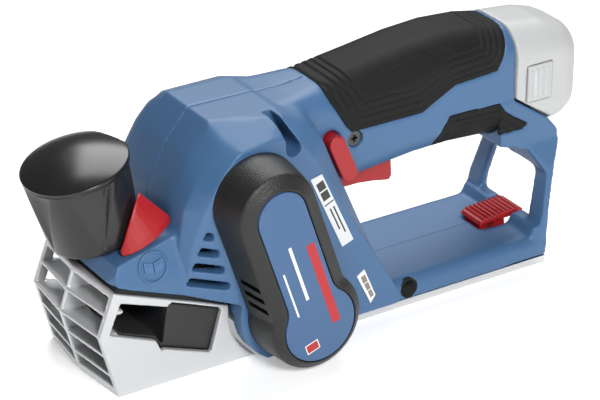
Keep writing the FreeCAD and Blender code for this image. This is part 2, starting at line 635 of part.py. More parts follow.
def belt_loop(extra):
    """The space inside an open belt round both pulleys, grown by extra."""
    low, high = DRIVEN_R + extra, DRIVE_R + extra
    drum, motor = V(DRUM_X, BELT_Y0, DRUM_Z), V(MOTOR_X, BELT_Y0, MOTOR_Z)
    run = motor - drum
    lean = math.asin((low - high) / run.Length)
    base_angle = math.atan2(run.z, run.x)
    points = []
    for sign in (1, -1):
        normal = base_angle + sign * (math.pi / 2 - lean)
        out = V(math.cos(normal), 0, math.sin(normal))
        points.append((drum + out * low, motor + out * high))
    (a_low, a_high), (b_low, b_high) = points
    unit = V(run.x, 0, run.z).normalize()
    outline = [
        Part.LineSegment(a_low, a_high).toShape(),
        Part.Arc(a_high, motor + unit * high, b_high).toShape(),
        Part.LineSegment(b_high, b_low).toShape(),
        Part.Arc(b_low, drum - unit * low, a_low).toShape()]
    return Part.Face(Part.Wire(outline)).extrude(V(0, BELT_Y1 - BELT_Y0, 0))


def make_belt_drive():
    make_pulley("driven_pulley", DRUM_X, DRUM_Z, DRIVEN_R, 4.0)
    make_pulley("drive_pulley", MOTOR_X, MOTOR_Z, DRIVE_R, 2.5)
    save("drive_belt", belt_loop(1.8).cut(belt_loop(0.06)))


def make_belt_cover():
    """Outer cover: a drafted wall, a bevel and a flat face with an inlaid panel."""
    wall, crease = 2.2, 53.0
    outside = fuse(keyhole(PLATE_FACE, crease, 20.5, 17.5, 22.4, 21.0),
                   keyhole(crease, COVER_FACE, 17.5, 13.2, 21.0, 18.4))
    inside = keyhole(PLATE_FACE - 1, crease + 1, 18.5, 15.3, 20.2, 18.8)
    panel = keyhole(COVER_FACE - 1.0, COVER_FACE + 0.3, 11.2, 11.2, 16.7, 16.7)
    slots = []
    for i in range(3):
        z = 31.5 + 5.6 * i
        slots.append(prism([(92 + 1.6 * i, z), (104 + 1.6 * i, z + 1.4), (104 + 1.6 * i, z + 3.6),
                            (92 + 1.6 * i, z + 2.2)], 41.5, 52.0))
    cover = outside.cut([inside, panel] + slots)
    low_edge = box(40, 120, 30, 60, -10, 0.6)
    save("belt_cover", cover.cut(low_edge))
    save("belt_cover_panel", panel)


# ---------------------------------------------------------------- motor and electrics
def make_motor():
    save("motor_stator", ring_y(MOTOR_X, MOTOR_Z, 21.0, 12.2, -8.0, 22.0))
    save("motor_rotor", ring_y(MOTOR_X, MOTOR_Z, 11.6, 2.5, -7.0, 21.0))
    save("motor_shaft", rod_y(MOTOR_X, MOTOR_Z, 2.5, -25.5, 54.0))
    bracket = ring_y(MOTOR_X, MOTOR_Z, 21.5, 7.0, -14.5, -10.5)
    vents = []
    for i in range(6):
        a = math.radians(60 * i + 20)
        vents.append(rod_y(MOTOR_X + 14.5 * math.cos(a), MOTOR_Z + 14.5 * math.sin(a), 4.2, -20, -5))
    save("motor_bracket", bracket.cut(vents))
    hub = ring_y(MOTOR_X, MOTOR_Z, 5.5, 2.5, -24.6, -16.0)
    disc = ring_y(MOTOR_X, MOTOR_Z, 18.6, 5.0, -17.6, -16.0)
    blades = []
    for i in range(11):
        blade = box(MOTOR_X + 5.2, MOTOR_X + 18.4, -24.0, -17.0, MOTOR_Z - 0.6, MOTOR_Z + 0.6)
        blade.rotate(V(MOTOR_X + 5.2, 0, MOTOR_Z), V(0, 1, 0), 18)
        blade.rotate(V(MOTOR_X, 0, MOTOR_Z), V(0, 1, 0), i * 360 / 11)
        blades.append(blade.common(rod_y(MOTOR_X, MOTOR_Z, 18.6, -25, -15)))
    save("cooling_fan", hub.fuse([disc] + blades).removeSplitter())


def make_electrics():
    body = box(4, 24, -10, 10, 74, 88)
    plunger = rod(V(10, 0, 71.4), V(0, 0, 1), 1.6, 2.6)
    save("switch_module", fuse(body, plunger))
    board = prism([(36.5, 20), (53.2, 60), (56.2, 58.6), (39.5, 18.6)], -20, 20)
    parts = [prism([(45.1 + 4 * i, 33 + 9.6 * i), (47.6 + 4 * i, 39 + 9.6 * i),
                    (50.0 + 4 * i, 38.2 + 9.6 * i), (47.5 + 4 * i, 32.2 + 9.6 * i)], -12, 12)
             for i in range(2)]
    save("control_board", board.fuse(parts).removeSplitter())
    block = box(-1.0, 3.0, -13, 13, 81, 104)
    blades = [box(-9.0, -1.0, y - 0.4, y + 0.4, 91, 98) for y in (-9, 0, 9)]
    save("battery_contacts", block.fuse(blades))


# ---------------------------------------------------------------- controls
def make_trigger():
    """Pull trigger under the handle, hinged at its front end."""
    px, pz = TRIGGER_PIVOT
    outline = [(36.4, 56.4), (33.8, 53.8), (29, 53.1), (22, 53.0), (14, 52.0), (9, 50.9), (5.8, 50.4),
               (4.6, 52.4), (5.0, 61), (5.4, 65.5), (24, 65.5), (33, 62.8), (36.4, 60)]
    trigger = prism(outline, -6.6, 6.6)
    trigger = trigger.cut(box(8.5, 13.5, -2.5, 2.5, 62.5, 70))
    save("trigger", trigger.cut(rod_y(px, pz, 1.5 + RUNNING, -10, 10)))
    save("trigger_pin", rod_y(px, pz, 1.5, -10, 10))
    save("trigger_spring", ring_z(11, 0, 2.0, 1.2, 62.5, 71.4))


def make_lock_button():
    bar = slanted_bar(LOCK_LOW, LOCK_HIGH, 3.9, 15.6, 24.2)
    save("lock_button", bar)
    middle = (LOCK_LOW + LOCK_HIGH) * 0.5
    coil = ring_y(middle.x, middle.z, 2.4, 1.6, 10.0, 15.6)
    save("lock_spring", coil)


def make_parking_rest():
    """Ribbed lever pad with a foot below it, on a pin across the base."""
    px, pz = PARK_PIVOT
    y0, y1 = PARK_Y - 6.0, PARK_Y + 6.0
    arm = prism([(px + 2.4, pz - 2.2), (px + 2.4, pz + 2.2), (px - 3.4, pz + 3.2), (px - 4, 15),
                 (px - 9, 15), (px - 6.2, pz + 2), (px - 3, pz - 2.2)], y0, y1)
    pad = prism([(px - 2.2, 14.2), (-66.6, 14.8), (-67.4, 16.6), (-65, 17.8), (px - 3, 16.0)],
                PARK_Y - 7.4, PARK_Y + 7.4)
    foot = prism([(-52, 15.4), (-58, 15.4), (-58.6, 1.6), (-55.4, 0.9), (-52.6, 1.6)], y0, y1)
    ridges = [prism([(x, 15.4), (x - 1.2, 15.4), (x - 0.9, 17.2 + (px - x) * 0.05),
                     (x - 0.3, 17.2 + (px - x) * 0.05)], PARK_Y - 7.4, PARK_Y + 7.4)
              for x in [px - 4.4 - 2.2 * i for i in range(9)]]
    lever = arm.fuse([pad, foot] + ridges).removeSplitter()
    save("parking_lever", lever.cut(rod_y(px, pz, 1.5 + RUNNING, -20, 30)))
    save("parking_pin", rod_y(px, pz, 1.5, PARK_Y - 9.5, PARK_Y + 9.5))


# ---------------------------------------------------------------- battery pack
CAP_END = -86.5
CLIP = (-70.0, -57.0, 77.0, 94.0)       # x and z limits of a release clip
# (x, half width, low, high, corner) of the cap, which closes with a rounded end
CAP_SECTIONS = [(HANDLE_END_X, 20.5, 60, 112, 14), (-70, 20.5, 60.4, 110, 13.5),
                (-79, 19.8, 61.4, 107.5, 13), (-84, 17.8, 63.4, 105.0, 12), (CAP_END, 15.2, 66.0, 102.4, 10)]


def make_battery():
    outline = [(HANDLE_END_X - 0.4, 80), (-70.6, 66.9), (-76.4, 60.0), (CAP_END - 1, 60.0),
               (CAP_END - 1, 113), (HANDLE_END_X - 0.4, 113)]
    cap = prism(outline, -21, 21).common(loft([rounded_wire(*section) for section in CAP_SECTIONS]))
    stem = loft([rounded_wire(x, BAY_HALF - 0.5, BAY_LOW + 0.5, BAY_HIGH - 0.5, 7.6)
                 for x in (HANDLE_END_X - 3, -4.0)])
    case = fuse(cap, stem)
    radius = 7.2
    centres = [(-radius - 0.1, 88.6), (radius + 0.1, 88.6), (0, 88.6 + 1.74 * radius)]
    cells = [rod(V(-68, y, z), V(1, 0, 0), radius, 57) for y, z in centres]
    slots = [box(-12, 0, y - 0.9, y + 0.9, 90, 99) for y in (-9, 0, 9)]
    x0, x1, z0, z1 = CLIP
    pockets = [box(x0 - 0.4, x1 + 0.4, *span, z0 - 0.4, z1 + 0.4)
               for span in ((14.8, 25), (-25, -14.8))]
    case = case.cut(cells + slots + pockets)
    grooves = [box(x, x + 1.0, *span, 67.5 + 0.9 * step, 74) for step, x in enumerate((-71, -67.5, -64))
               for span in ((19.7, 25), (-25, -19.7))]
    save("battery_case", case.cut(grooves))
    save("battery_cells", Part.makeCompound(cells))
    for name, side in (("left", 1), ("right", -1)):
        spans = sorted((side * 17.4, side * 20.9))
        clip = box(x0, x1, *spans, z0, z1)
        ridges = [box(x, x + 1.2, *sorted((side * 20.9, side * 21.5)), z0 + 2, z1 - 2)
                  for x in (-68, -65, -62, -59)]
        save(f"battery_clip_{name}", clip.fuse(ridges).removeSplitter())


# ---------------------------------------------------------------- small static parts
def make_housing_screws():
    """Pan-head screws with a star recess, down the bores from the left side."""
    screws = []
    for x, z, y_head in HOUSING_SCREWS:
        head_part = rod_y(x, z, SCREW_HEAD_R, y_head, y_head + 2.2)
        recess = [box(x - wide, x + wide, y_head + 1.0, y_head + 3, z - tall, z + tall)
                  for wide, tall in ((1.6, 0.5), (0.5, 1.6))]
        shank = rod_y(x, z, 1.7, y_head - 26, y_head)
        screws.append(fuse(head_part, shank).cut(recess))
    save("housing_screws", Part.makeCompound(screws))


def make_labels():
    label = [(66.2, 79.4), (60.6, 80.6), (44.6, 45.9), (50.2, 43.9)]
    save("side_label", prism(label, PLATE_FACE, PLATE_FACE + 0.4))
    gauge = [(42.5, 27.2), (38.8, 29.6), (32.9, 15.7), (35.3, 12.4)]
    save("charge_gauge", prism(gauge, PLATE_FACE, PLATE_FACE + 0.4))


make_housing()
make_grips()
make_rear_sole()
make_front_shoe()
make_shoe_guides()
make_seal()
make_chute()
make_deflector()
make_chip_lever()
make_knob()
make_spindle()
make_drum()
make_bearings()
make_belt_drive()
make_belt_cover()
make_motor()
make_electrics()
make_trigger()
make_lock_button()
make_parking_rest()
make_battery()
make_housing_screws()
make_labels()
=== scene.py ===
"""Looks of the compact hand planer: soft moulded shells, textured grips, cast shoe, studio.

Shapes are in millimetres in the row frame (+X forward, +Y to the belt cover, +Z up) and are
written to the meshes in metres. The lights and the camera are placed in metres.
"""

import json
import math

import bmesh
import bpy
import numpy as np
from mathutils import Matrix, Vector


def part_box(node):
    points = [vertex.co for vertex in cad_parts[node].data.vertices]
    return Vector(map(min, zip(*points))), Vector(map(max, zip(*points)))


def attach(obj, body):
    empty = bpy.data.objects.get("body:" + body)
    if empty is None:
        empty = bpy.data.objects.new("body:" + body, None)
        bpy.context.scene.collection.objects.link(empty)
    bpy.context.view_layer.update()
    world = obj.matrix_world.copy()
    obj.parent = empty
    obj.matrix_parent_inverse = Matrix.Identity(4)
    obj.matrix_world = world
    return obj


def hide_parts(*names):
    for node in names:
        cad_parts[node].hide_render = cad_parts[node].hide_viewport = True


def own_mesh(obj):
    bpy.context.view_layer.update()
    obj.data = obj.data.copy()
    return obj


MM = 0.001
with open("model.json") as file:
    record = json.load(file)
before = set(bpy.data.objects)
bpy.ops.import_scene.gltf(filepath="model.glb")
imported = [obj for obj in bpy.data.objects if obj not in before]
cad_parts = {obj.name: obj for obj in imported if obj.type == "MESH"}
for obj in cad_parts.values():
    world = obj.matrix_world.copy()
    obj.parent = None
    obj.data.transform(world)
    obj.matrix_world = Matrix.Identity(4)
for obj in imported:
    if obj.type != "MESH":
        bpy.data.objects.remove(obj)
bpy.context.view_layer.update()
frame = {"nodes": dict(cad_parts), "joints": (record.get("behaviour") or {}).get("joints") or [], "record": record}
NODES = frame["nodes"]

# ---------------------------------------------------------------- places taken from the frame
JOINTS = {joint["name"]: joint for joint in frame["joints"]}


def joint_place(name):
    return np.array(JOINTS[name]["pos_m"]) / MM


DRUM = joint_place("drum_spin")
MOTOR = joint_place("rotor_spin")
KNOB_BASE = joint_place("depth_turn")
KNOB_AXIS = np.array(JOINTS["depth_turn"]["axis"])
KNOB_FORWARD = np.array([KNOB_AXIS[2], 0.0, -KNOB_AXIS[0]])
PLATE_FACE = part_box("belt_cover")[0].y / MM
COVER_RUN = np.array([MOTOR[0] - DRUM[0], MOTOR[2] - DRUM[2]])     # drum to motor, in X and Z
AXES_APART = np.hypot(*COVER_RUN)
COVER_ALONG = COVER_RUN / AXES_APART
COVER_ACROSS = np.array([COVER_ALONG[1], -COVER_ALONG[0]])
SOCKET = next(mount for mount in frame["record"]["mounts"] if mount["name"] == "fence_socket")
SOCKET_PLACE = np.array(SOCKET["pos_m"]) / MM
SOCKET_RADIUS = SOCKET["dims"]["r_mm"]


# ---------------------------------------------------------------- mesh helpers
def new_object(name, vertices, faces, smooth=True):
    """A mesh object from points in millimetres."""
    mesh = bpy.data.meshes.new(name)
    mesh.from_pydata([tuple(c * MM for c in v) for v in vertices], [], [tuple(f) for f in faces])
    obj = bpy.data.objects.new(name, mesh)
    bpy.context.scene.collection.objects.link(obj)
    editable = bmesh.new()
    editable.from_mesh(mesh)
    bmesh.ops.recalc_face_normals(editable, faces=editable.faces)
    editable.to_mesh(mesh)
    editable.free()
    for polygon in mesh.polygons:
        polygon.use_smooth = smooth
    return obj


def join_rings(low, high, count):
    """The band of faces between two rings, given by their first points' numbers."""
    return [(low + i, low + (i + 1) % count, high + (i + 1) % count, high + i) for i in range(count)]


def closed_tube(name, rings):
    """A ring of rings: each ring joins the next, and the last joins the first."""
    count = len(rings[0])
    vertices = [point for ring in rings for point in ring]
    faces = []
    for level in range(len(rings)):
        faces += join_rings(level * count, (level + 1) % len(rings) * count, count)
    return new_object(name, vertices, faces)


def slab(name, low, high):
    """A flat-sided body between two outlines with the same number of points."""
    count = len(low)
    faces = join_rings(0, count, count) + [tuple(range(count)), tuple(range(count, 2 * count))]
    return new_object(name, low + high, faces, smooth=False)


def bar(name, outline, y0, y1):
    """A straight bar along Y with an outline in X and Z."""
    return slab(name, [(x, y0, z) for x, z in outline], [(x, y1, z) for x, z in outline])


def full_circle(steps):
    return np.linspace(0, 2 * math.pi, steps, endpoint=False)


def bake(obj):
    """Turns the object's modifiers into its mesh."""
    graph = bpy.context.evaluated_depsgraph_get()
    mesh = bpy.data.meshes.new_from_object(obj.evaluated_get(graph))
    obj.modifiers.clear()
    obj.data = mesh


def points_of(obj):
    flat = np.zeros(len(obj.data.vertices) * 3)
    obj.data.vertices.foreach_get("co", flat)
    return flat.reshape(-1, 3) / MM


def normals_of(obj):
    flat = np.zeros(len(obj.data.vertices) * 3)
    obj.data.vertices.foreach_get("normal", flat)
    return flat.reshape(-1, 3)


def set_points(obj, points):
    obj.data.vertices.foreach_set("co", (points * MM).ravel())
    obj.data.update()


def soft_copy(node, voxel, rounds):
    """A copy of a CAD node with evenly spaced faces and its edges rounded over."""
    obj = bpy.data.objects.new(node + "_look", NODES[node].data.copy())
    bpy.context.scene.collection.objects.link(obj)
    editable = bmesh.new()
    editable.from_mesh(obj.data)
    bmesh.ops.remove_doubles(editable, verts=editable.verts, dist=0.002 * MM)
    editable.to_mesh(obj.data)
    editable.free()
    remesh = obj.modifiers.new("even", "REMESH")
    remesh.mode = "VOXEL"
    remesh.voxel_size = voxel * MM
    remesh.use_smooth_shade = True
    soften = obj.modifiers.new("round", "SMOOTH")
    soften.factor = 0.5
    soften.iterations = rounds
    bake(obj)
    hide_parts(node)
    return obj


def relax(obj, weights, rounds):
    """More smoothing where weights (0 to 1, one per vertex) ask for it."""
    group = obj.vertex_groups.new(name="relax")
    tenths = np.clip(np.round(weights * 10), 0, 10).astype(int)
    for tenth in range(1, 11):
        chosen = np.nonzero(tenths == tenth)[0].tolist()
        if chosen:
            group.add(chosen, tenth / 10, "REPLACE")
    soften = obj.modifiers.new("relax", "SMOOTH")
    soften.factor = 0.5
    soften.iterations = rounds
    soften.vertex_group = "relax"
    bake(obj)
    obj.vertex_groups.clear()


def shade_by_angle(obj, degrees):
    """Smooth shading with crisp edges where faces meet at more than the angle."""
    editable = bmesh.new()
    editable.from_mesh(obj.data)
    for edge in editable.edges:
        edge.smooth = len(edge.link_faces) == 2 and edge.calc_face_angle(0) < math.radians(degrees)
    for face in editable.faces:
        face.smooth = True
    editable.to_mesh(obj.data)
    editable.free()


def finish_piece(obj, body, material):
    """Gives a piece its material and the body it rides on."""
    obj.data.materials.clear()
    obj.data.materials.append(material)
    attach(obj, body)


def ease(value, low, high):
    """0 below low, 1 above high, smooth between; arrays or numbers."""
    t = np.clip((value - low) / (high - low), 0, 1)
    return t * t * (3 - 2 * t)


def distance_to_path(x, z, path):
    """Distance in the XZ plane from points to an open polyline."""
    best = np.full(x.shape, 1e9)
    for (x0, z0), (x1, z1) in zip(path[:-1], path[1:]):
        run = np.array([x1 - x0, z1 - z0])
        share = np.clip(((x - x0) * run[0] + (z - z0) * run[1]) / (run @ run), 0, 1)
        best = np.minimum(best, np.hypot(x - x0 - share * run[0], z - z0 - share * run[1]))
    return best


# ---------------------------------------------------------------- materials
def noise(tree, place, scale, detail):
    texture = tree.nodes.new("ShaderNodeTexNoise")
    texture.inputs["Scale"].default_value = scale
    texture.inputs["Detail"].default_value = detail
    tree.links.new(place, texture.inputs["Vector"])
    return texture.outputs["Fac"]


def mean_of(tree, first, second):
    total = tree.nodes.new("ShaderNodeMath")
    total.operation = "ADD"
    tree.links.new(first, total.inputs[0])
    tree.links.new(second, total.inputs[1])
    half = tree.nodes.new("ShaderNodeMath")
    half.operation = "MULTIPLY"
    half.inputs[1].default_value = 0.5
    tree.links.new(total.outputs[0], half.inputs[0])
    return half.outputs[0]


def mottled(tree, colour, mottle, variation):
    """The colour, a little darker and lighter from place to place."""
    mix = tree.nodes.new("ShaderNodeMix")
    mix.data_type = "RGBA"
    mix.inputs["A"].default_value = [c * (1 - mottle) for c in colour] + [1]
    mix.inputs["B"].default_value = [min(1, c * (1 + mottle)) for c in colour] + [1]
    tree.links.new(variation, mix.inputs["Factor"])
    return mix.outputs["Result"]


def worn_edges(tree, colour_out, wear, wear_colour):
    """The colour, changed towards wear_colour on sharp outer edges."""
    edge = tree.nodes.new("ShaderNodeNewGeometry")
    ramp = tree.nodes.new("ShaderNodeMapRange")
    ramp.inputs["From Min"].default_value = 0.53
    ramp.inputs["From Max"].default_value = 0.62
    ramp.inputs["To Max"].default_value = wear
    tree.links.new(edge.outputs["Pointiness"], ramp.inputs["Value"])
    worn = tree.nodes.new("ShaderNodeMix")
    worn.data_type = "RGBA"
    worn.inputs["B"].default_value = list(wear_colour) + [1]
    tree.links.new(ramp.outputs["Result"], worn.inputs["Factor"])
    tree.links.new(colour_out, worn.inputs["A"])
    return worn.outputs["Result"]


def finish_material(name, colour, rough, metal=0.0, grain=0.0, grain_size=0.3, mottle=0.06,
                    wear=0.0, wear_colour=None, rough_spread=0.08, brush=None, specular=0.5):
    """A surface with fine grain, slow colour change and edges worn by handling.

    grain is the height of the grain and grain_size its spacing, both in millimetres.
    brush stretches the grain along one axis, for ground and machined metal.
    """
    material = bpy.data.materials.new(name)
    material.use_nodes = True
    tree = material.node_tree
    shader = tree.nodes["Principled BSDF"]
    shader.inputs["Metallic"].default_value = metal
    shader.inputs["Specular IOR Level"].default_value = specular

    place = tree.nodes.new("ShaderNodeTexCoord").outputs["Object"]
    grain_place = place
    if brush is not None:
        mapping = tree.nodes.new("ShaderNodeMapping")
        mapping.inputs["Scale"].default_value = brush
        tree.links.new(place, mapping.inputs["Vector"])
        grain_place = mapping.outputs["Vector"]
    slow = noise(tree, place, scale=45, detail=6)
    fine = noise(tree, grain_place, scale=1 / (grain_size * MM), detail=3)
    variation = mean_of(tree, slow, fine)

    colour_out = mottled(tree, colour, mottle, variation)
    if wear:
        lighter = [min(1, c * 1.6 + 0.02) for c in colour]
        colour_out = worn_edges(tree, colour_out, wear, wear_colour or lighter)
    tree.links.new(colour_out, shader.inputs["Base Color"])

    shine = tree.nodes.new("ShaderNodeMapRange")
    shine.inputs["To Min"].default_value = max(0.02, rough - rough_spread)
    shine.inputs["To Max"].default_value = min(1.0, rough + rough_spread)
    tree.links.new(variation, shine.inputs["Value"])
    tree.links.new(shine.outputs["Result"], shader.inputs["Roughness"])
    if grain:
        bump = tree.nodes.new("ShaderNodeBump")
        bump.inputs["Strength"].default_value = 1.0
        bump.inputs["Distance"].default_value = grain * MM
        tree.links.new(fine, bump.inputs["Height"])
        tree.links.new(bump.outputs["Normal"], shader.inputs["Normal"])
    return material


# one row for each material slot: base colour, roughness and what finish_material adds
SURFACES = {
    "body_plastic": dict(colour=(0.050, 0.125, 0.255), rough=0.46, grain=0.03, grain_size=0.35,
                         mottle=0.09, wear=0.25),
    "grip_rubber": dict(colour=(0.011, 0.0115, 0.011), rough=0.62, grain=0.03, grain_size=0.25,
                        mottle=0.2, wear=0.15, specular=0.14),
    "cover_plastic": dict(colour=(0.010, 0.010, 0.0095), rough=0.50, grain=0.20, grain_size=0.9,
                          mottle=0.35, wear=0.2, rough_spread=0.15),
    "cover_inlay": dict(colour=(0.042, 0.105, 0.225), rough=0.42, grain=0.008, grain_size=0.25,
                        mottle=0.03),
    "cast_alloy": dict(colour=(0.57, 0.58, 0.59), rough=0.36, metal=0.45, grain=0.03,
                       grain_size=0.4, mottle=0.05, wear=0.6, wear_colour=(0.95, 0.95, 0.96)),
    "sole_alloy": dict(colour=(0.66, 0.66, 0.66), rough=0.30, metal=1.0, grain=0.02,
                       grain_size=0.5, brush=(0.02, 1, 1), mottle=0.08),
    "steel": dict(colour=(0.56, 0.56, 0.57), rough=0.28, metal=1.0, grain=0.01, grain_size=0.4,
                  brush=(1, 0.05, 1)),
    "dark_steel": dict(colour=(0.014, 0.014, 0.015), rough=0.33, metal=0.3, grain=0.01,
                       wear=0.4, wear_colour=(0.16, 0.16, 0.16)),
    "carbide": dict(colour=(0.40, 0.40, 0.42), rough=0.22, metal=1.0, grain=0.004,
                    brush=(1, 0.03, 1)),
    "drum_alloy": dict(colour=(0.62, 0.62, 0.63), rough=0.34, metal=1.0, grain=0.012,
                       brush=(0.05, 1, 0.05)),
    "brass": dict(colour=(0.72, 0.50, 0.20), rough=0.3, metal=1.0, grain=0.01),
    "copper": dict(colour=(0.58, 0.24, 0.11), rough=0.4, metal=1.0, grain=0.05, grain_size=0.8,
                   brush=(1, 0.2, 1)),
    "knob_plastic": dict(colour=(0.011, 0.011, 0.012), rough=0.24, grain=0.006, mottle=0.1,
                         wear=0.35),
    "red_plastic": dict(colour=(0.34, 0.007, 0.010), rough=0.42, grain=0.012, grain_size=0.35,
                        mottle=0.08, wear=0.25),
    "black_plastic": dict(colour=(0.017, 0.017, 0.017), rough=0.42, grain=0.015, mottle=0.15,
                          wear=0.4),
    "foam": dict(colour=(0.006, 0.006, 0.006), rough=0.85, grain=0.12, grain_size=0.5),
    "belt_rubber": dict(colour=(0.02, 0.02, 0.02), rough=0.7, grain=0.3, grain_size=1.2,
                        brush=(0.05, 1, 0.05)),
    "label_silver": dict(colour=(0.66, 0.68, 0.70), rough=0.35, metal=0.35, grain=0.003,
                         mottle=0.03),
    "gauge": dict(colour=(0.80, 0.80, 0.78), rough=0.4, grain=0.003, mottle=0.03),
    "circuit": dict(colour=(0.02, 0.12, 0.05), rough=0.4, grain=0.05, grain_size=1.5),
    "pack_plastic": dict(colour=(0.45, 0.455, 0.46), rough=0.45, grain=0.025, grain_size=0.35,
                         mottle=0.04, wear=0.2),
    "cell_wrap": dict(colour=(0.08, 0.26, 0.42), rough=0.3, grain=0.004),
}
MATERIALS = {name: finish_material(name, **surface) for name, surface in SURFACES.items()}
GAUGE_INK = finish_material("gauge_ink", (0.22, 0.20, 0.18), 0.5, grain=0.003, mottle=0.05)


def dress_cad_nodes():
    """Every CAD node gets its slot's material; the soft copies are dressed on their own."""
    for part in frame["record"]["subparts"]:
        node = NODES[part["node"]]
        node.data.materials.clear()
        node.data.materials.append(MATERIALS[part["material_slot"]])


# ---------------------------------------------------------------- body halves
# middle line, in X and Z, of the recess that runs up from a housing screw
SCREW_RECESS_PATH = [(73.8, 95.4), (78.5, 110.0)]


def softness(x, y, z):
    """Where the moulded shell flows smoothly (1) and where its edges stay crisp (0)."""
    blend = ease(x, 38, 46) * (1 - ease(x, 62, 74)) * ease(z, 62, 74)
    nose = ease(x, 103.5, 107) * ease(z, 57, 63) * (1 - ease(y, 23, 26))
    off_recess = ease(distance_to_path(x, z, SCREW_RECESS_PATH), 5, 7)
    shoulder = ease(y, 17.5, 21) * ease(z, 82, 88) * (1 - ease(y, 33, 35.5)) * off_recess
    frame_legs = 0.35 * (1 - ease(x, -46, -40)) * (1 - ease(z, 56, 62))
    most = np.maximum.reduce([blend, nose, shoulder, frame_legs])
    off_seam = ease(np.abs(y), 0.6, 2.5)
    return most * off_seam


def make_housing():
    """The two moulded halves, softened where the shell flows."""
    for node in ("housing_left", "housing_right"):
        shell = soft_copy(node, voxel=0.65, rounds=2)
        x, y, z = points_of(shell).T
        relax(shell, softness(x, y, z), rounds=60)
        finish_piece(shell, "body", MATERIALS["body_plastic"])


# a near-black sleeve in the fence socket: painted shade in the hole
SOCKET_SHADE_INNER_Y, SOCKET_SHADE_OUTER_Y = 14.6, 28.6
SOCKET_SHADE_HALF_WALL = 0.3
SOCKET_SHADE_END_WALL = 0.4
SOCKET_SHADE_PINHOLE_R = 0.2


def make_fence_socket_shade():
    """A dark sleeve inside the fence socket, painted shade in the hole; its end wall has a pinhole in the middle.
    """
    outer, inner = SOCKET_RADIUS + SOCKET_SHADE_HALF_WALL, SOCKET_RADIUS - SOCKET_SHADE_HALF_WALL
    end_wall_y = SOCKET_SHADE_INNER_Y + SOCKET_SHADE_END_WALL
    section = [(outer, SOCKET_SHADE_OUTER_Y), (outer, SOCKET_SHADE_INNER_Y), (SOCKET_SHADE_PINHOLE_R, SOCKET_SHADE_INNER_Y),
               (SOCKET_SHADE_PINHOLE_R, end_wall_y), (inner, end_wall_y), (inner, SOCKET_SHADE_OUTER_Y)]
    x, _, z = SOCKET_PLACE
    rings = [[(x + radius * math.cos(a), y, z + radius * math.sin(a)) for a in full_circle(48)]
             for radius, y in section]
    finish_piece(closed_tube("fence_socket_shade", rings), "body", MATERIALS["foam"])


VENT_SHADE = [(103.5, 39.5), (120.0, 39.5), (114.5, 68.0), (107.5, 68.0)]
VENT_SHADE_Y = (24.05, 24.6)


def make_vent_shade():
    """A dark sheet behind the four exhaust slots: painted shade in the duct seen through them."""
    shade = bar("vent_shade", VENT_SHADE, *VENT_SHADE_Y)
    finish_piece(shade, "body", MATERIALS["foam"])


# ---------------------------------------------------------------- raised sign on the platform
SIGN_MIDDLE = np.array([135.7, 27.1, 54.7])
# the platform's side leans back a little, so up and out are not quite Z and Y
SIGN_UP = np.array([0.0, -0.25, 0.968])
SIGN_OUT = np.array([0.0, 0.968, 0.25])
SIGN_ACROSS = np.array([-1.0, 0.0, 0.0])
SIGN_RADIUS = 6.9
SIGN_ROOT = -0.6                        # how far its pieces reach under the surface
# each row: how far in from the ring's outside, rise over the surface
SIGN_RING_SECTION = [(0.0, SIGN_ROOT), (0.0, 0.5), (0.25, 0.85), (0.75, 0.85), (1.0, 0.5),
                     (1.0, SIGN_ROOT)]
PAGE = [(0.3, -2.6), (4.2, -1.4), (4.2, 2.8), (0.3, 1.6)]
PAGE_LINE = [(1.1, 0.2), (3.5, 0.95), (3.5, 1.5), (1.1, 0.75)]
PAGE_RISE, LINE_RISE = 0.75, 1.1


def sign_point(across, up, out):
    return SIGN_MIDDLE + SIGN_ACROSS * across + SIGN_UP * up + SIGN_OUT * out


def sign_slab(name, outline, side, rise):
    """A flat raised shape of the sign, on one side of its middle."""
    low, high = [[sign_point(side * across, up, out) for across, up in outline]
                 for out in (SIGN_ROOT, rise)]
    finish_piece(slab(name, low, high), "body", MATERIALS["body_plastic"])


def make_sign():
    """A raised ring round a plain open book."""
    rings = [[sign_point((SIGN_RADIUS - inward) * math.cos(a), (SIGN_RADIUS - inward) * math.sin(a), rise)
              for a in full_circle(64)]
             for inward, rise in SIGN_RING_SECTION]
    finish_piece(closed_tube("sign_ring", rings), "body", MATERIALS["body_plastic"])
    for name, side in (("left", -1), ("right", 1)):
        sign_slab(f"sign_page_{name}", PAGE, side, PAGE_RISE)
        sign_slab(f"sign_line_{name}", PAGE_LINE, side, LINE_RISE)


# ---------------------------------------------------------------- grips
GRIP_EDGE = [(45, 104), (43.7, 100.4), (37, 89), (33.9, 85.8), (-2, 85.7), (-19, 94.4), (-41, 95.6),
             (-44.5, 102), (-48.5, 112)]
PALM_EDGE = [(-10, 67), (-16.4, 80.5), (-43, 79.5), (-46, 75), (-51, 71.2), (-58.4, 66.5)]
HANDLE_MIDDLE_Z = 86.5
GROOVE_HALF_WIDTH, GROOVE_DEPTH = 0.5, 0.75
# groove floor deeper than this share is painted dark as shade
GROOVE_SHADE_FROM = 0.42         # share of the full depth
# node, edge, distance of the first groove, pitch, number of grooves
GRIPS = [
    ("grip_upper", GRIP_EDGE, 3.2, 3.2, 4),
    ("grip_palm", PALM_EDGE, 2.6, 2.8, 3),
]


